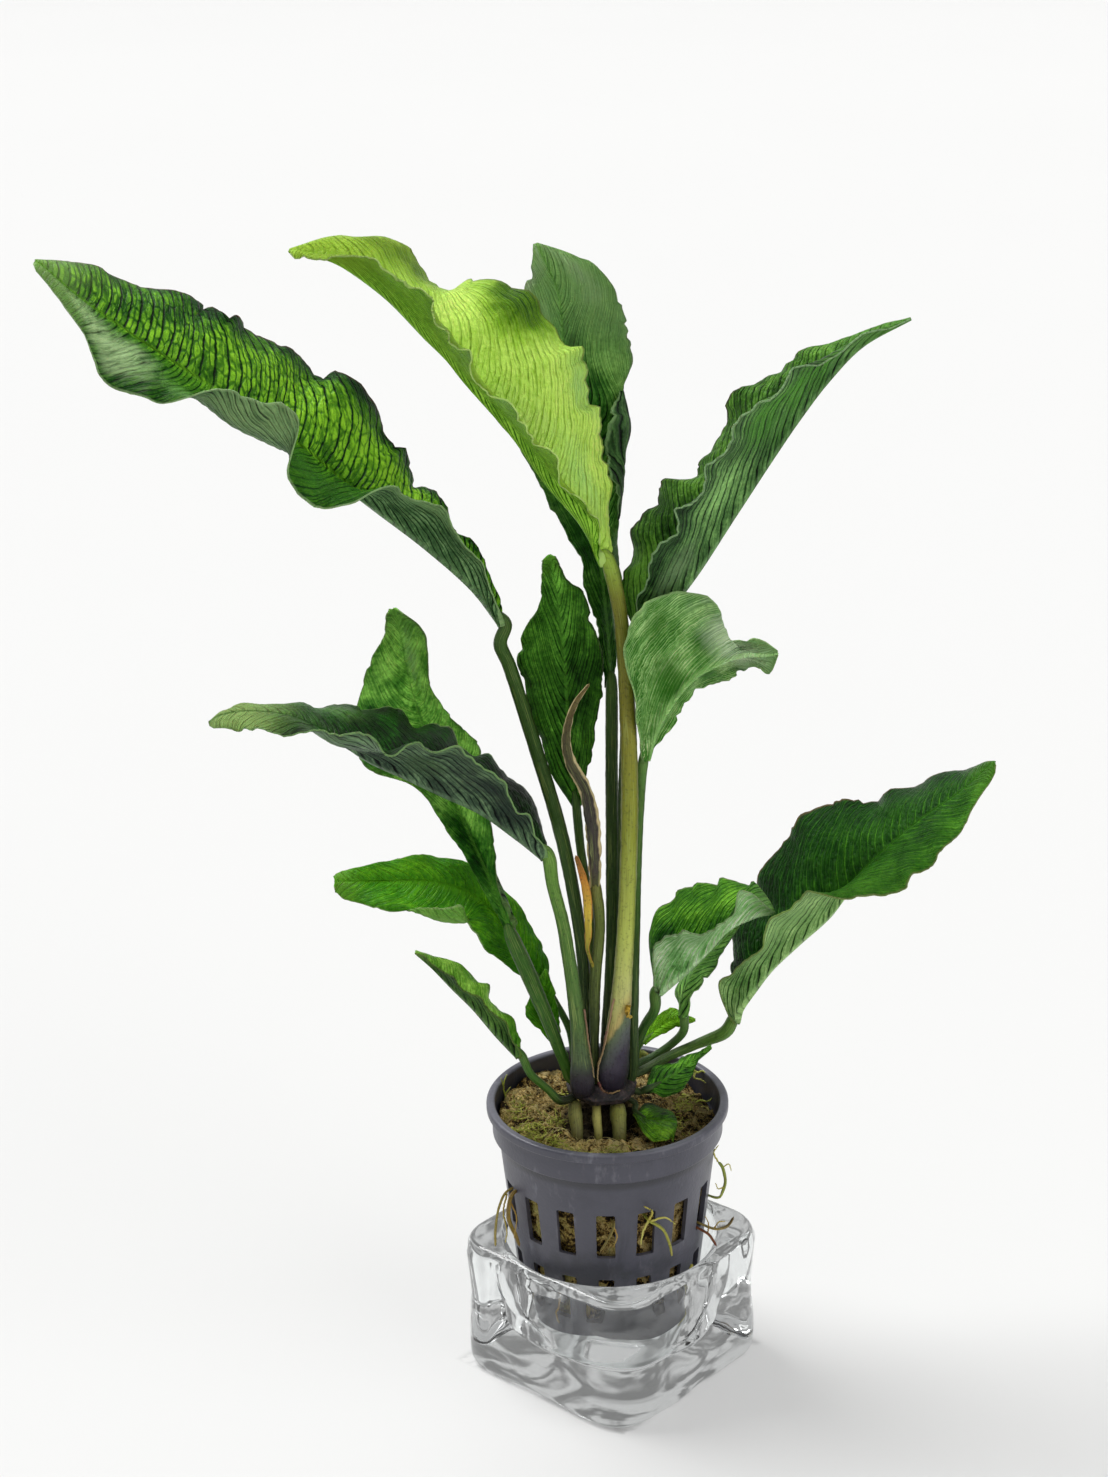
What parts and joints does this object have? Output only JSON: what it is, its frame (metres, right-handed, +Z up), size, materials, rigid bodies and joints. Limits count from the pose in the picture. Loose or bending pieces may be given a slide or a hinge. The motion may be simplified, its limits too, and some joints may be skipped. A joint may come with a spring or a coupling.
{
  "type": "potted aquarium plant",
  "caption": "Broad-leaved aquarium plant on long stalks, growing from a rhizome in a slotted net pot that stands in a clear square holder.",
  "frame": {"origin": "middle of the clear holder's flat underside", "axes": "+Z up along the pot's axis, +X to the right and +Y away from the viewer of the front view"},
  "size_m": [0.1993, 0.0662, 0.2645],
  "materials": {
    "clear_glass": "clear thick glass, smooth and polished, soft edges",
    "grey_plastic": "semi-matt grey moulded plastic",
    "growing_medium": "damp brown mineral fibre, rough, with moss on it",
    "rhizome": "dark purple-black living rhizome, semi-matt",
    "leaf": "living leaf, dark green and slightly waxy, paler veins",
    "leaf_lime": "young living leaf, yellow-green, slightly waxy, light shows through",
    "leaf_pale": "pale matt underside of a living leaf with raised veins",
    "stem": "living green leaf stalk, satin",
    "stem_thick": "living olive-brown leaf stalk, satin, purple at its foot",
    "dry_shoot": "withered folded leaf, dry, straw and grey-brown",
    "dry_yellow": "yellowed dry sheath and stub, matt",
    "prop_root": "thick living olive root, satin",
    "fine_root": "thin living root, tan to reddish"
  },
  "bodies": {
    "root": {"glass_holder": "clear_glass", "net_pot": "grey_plastic", "growing_medium": "growing_medium", "rhizome": "rhizome", "leaf_far_left": "leaf", "leaf_top": "leaf_lime", "leaf_back": "leaf", "leaf_upper_right": "leaf", "leaf_centre": "leaf", "leaf_pale_right": "leaf_pale", "leaf_mid_left": "leaf", "leaf_left_back": "leaf", "leaf_low_left": "leaf_lime", "leaf_small_left": "leaf", "leaf_bottom_left": "leaf", "leaf_far_right": "leaf", "leaf_hooded_right": "leaf", "leaf_narrow_right": "leaf", "leaf_tiny_right": "leaf", "leaf_over_soil": "leaf", "leaf_round_front": "leaf", "stem_far_left": "stem", "stem_top": "stem_thick", "stem_back": "stem", "stem_upper_right": "stem", "stem_centre": "stem", "stem_pale_right": "stem", "stem_mid_left": "stem", "stem_left_back": "stem", "stem_low_left": "stem", "stem_small_left": "stem", "stem_bottom_left": "stem", "stem_far_right": "stem", "stem_hooded_right": "stem", "stem_narrow_right": "stem", "stem_tiny_right": "stem", "stem_over_soil": "stem", "stem_round_front": "stem", "stem_withered": "stem", "withered_shoot": "dry_shoot", "yellow_sheath": "dry_yellow", "yellow_stub": "dry_yellow", "prop_root_left": "prop_root", "prop_root_middle": "prop_root", "prop_root_right": "prop_root", "root_left_thin": "fine_root", "root_left_thick": "fine_root", "root_right_loop": "fine_root", "root_right_outer": "fine_root", "root_right_red": "fine_root", "root_front": "fine_root", "root_front_slot": "fine_root"}
  },
  "joints": []
}
